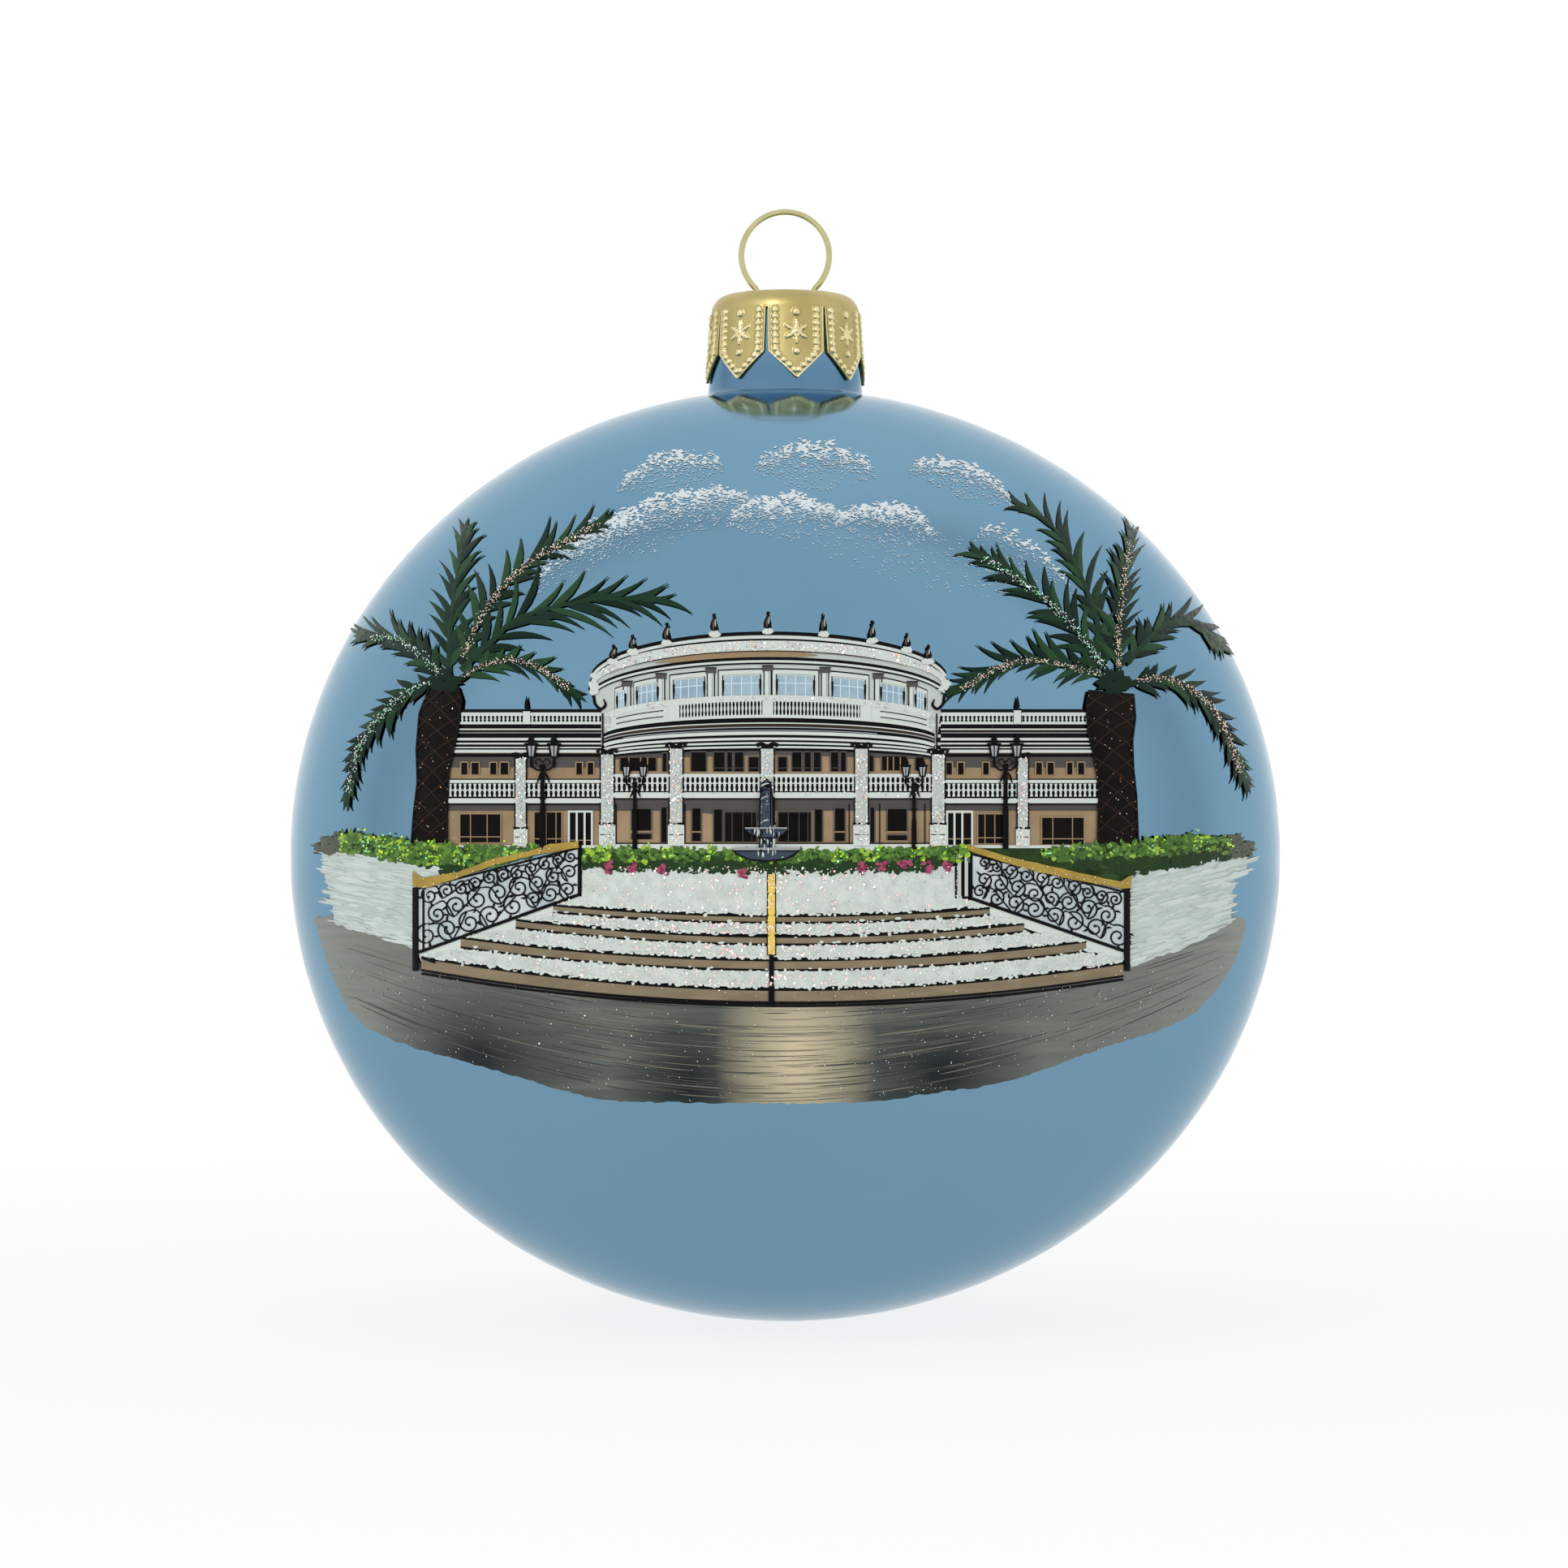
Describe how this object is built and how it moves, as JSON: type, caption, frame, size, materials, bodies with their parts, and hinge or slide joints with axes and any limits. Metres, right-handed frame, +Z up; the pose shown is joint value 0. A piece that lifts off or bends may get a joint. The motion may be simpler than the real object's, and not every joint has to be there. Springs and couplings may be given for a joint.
{
  "type": "glass ball christmas ornament",
  "caption": "Slightly flattened blown-glass hanging ball with a painted and glittered winter town scene, a stamped petal cap and a sprung wire loop.",
  "frame": {"origin": "lowest point of the ball, on the ball's, neck's and cap's common axis", "axes": "+Z up along the axis from the ball's bottom pole through the neck to the hanging loop; the painted scene faces -Y; +X is to the right of a viewer looking at the scene, and the hanging loop lies in the XZ plane"},
  "size_m": [0.1, 0.1004, 0.1128],
  "materials": {
    "clear_glass": "clear blown glass, polished",
    "blue_lacquer": "pale steel-blue transparent lacquer with a soft satin gloss over the mirrored glass",
    "silver_mirror": "silvered, mirror",
    "gold_cap": "gold-tinted stamped sheet, satin, with embossed beads and a star",
    "pale_gold_wire": "pale gold spring wire, smooth",
    "cloud_white": "white snow paint, sponge dabbed",
    "road_grey": "dark grey metallic enamel with fine sparkle, brushed across",
    "stone_enamel": "tan, white, blue and black enamel line work",
    "statue_enamel": "tan enamel",
    "lamp_black": "black enamel with white lanterns",
    "trunk_brown": "dark brown enamel with gold specks",
    "frond_green": "dark green enamel with pale glitter on the midribs",
    "snow_paste": "white snow paste with silver glitter",
    "riser_brown": "brown enamel edged in black",
    "planter_white": "white brushed snow paint with ragged edges",
    "bed_green": "green glitter with burgundy flowers",
    "hedge_green": "yellow-green glitter over dark green enamel",
    "fountain_stone": "grey and white enamel",
    "railing_enamel": "white enamel with black scrolls and a gold handrail",
    "handrail_gold": "golden yellow enamel"
  },
  "bodies": {
    "ball": {"glass_ball": "clear_glass", "blue_lacquer_coat": "blue_lacquer", "silver_lining": "silver_mirror", "cloud_paint": "cloud_white", "road_paint": "road_grey", "mansion_left_wing_paint": "stone_enamel", "mansion_right_wing_paint": "stone_enamel", "mansion_lower_storeys_paint": "stone_enamel", "mansion_drum_paint": "stone_enamel", "roof_statue_paint": "statue_enamel", "street_lamp_paint": "lamp_black", "left_palm_trunk_paint": "trunk_brown", "right_palm_trunk_paint": "trunk_brown", "left_palm_crown_paint": "frond_green", "right_palm_crown_paint": "frond_green", "step_snow": "snow_paste", "step_riser_paint": "riser_brown", "left_planter_wall_paint": "planter_white", "right_planter_wall_paint": "planter_white", "flower_bed_glitter": "bed_green", "left_hedge_glitter": "hedge_green", "right_hedge_glitter": "hedge_green", "fountain_paint": "fountain_stone", "left_railing_paint": "railing_enamel", "right_railing_paint": "railing_enamel", "centre_handrail_paint": "handrail_gold"},
    "cap": {"cap": "gold_cap"},
    "hanger": {"wire_hanger": "pale_gold_wire"}
  },
  "joints": [
    {"name": "cap_lift", "type": "slide", "parent": "ball", "child": "cap", "axis": [0, 0, 1], "range_m": [0, 0.022]},
    {"name": "hanger_rock", "type": "hinge", "parent": "cap", "child": "hanger", "pos_m": [0, 0, 0.1038], "axis": [1, 0, 0], "range_deg": [-5, 5], "stiffness_Nm_per_rad": 0.002}
  ]
}
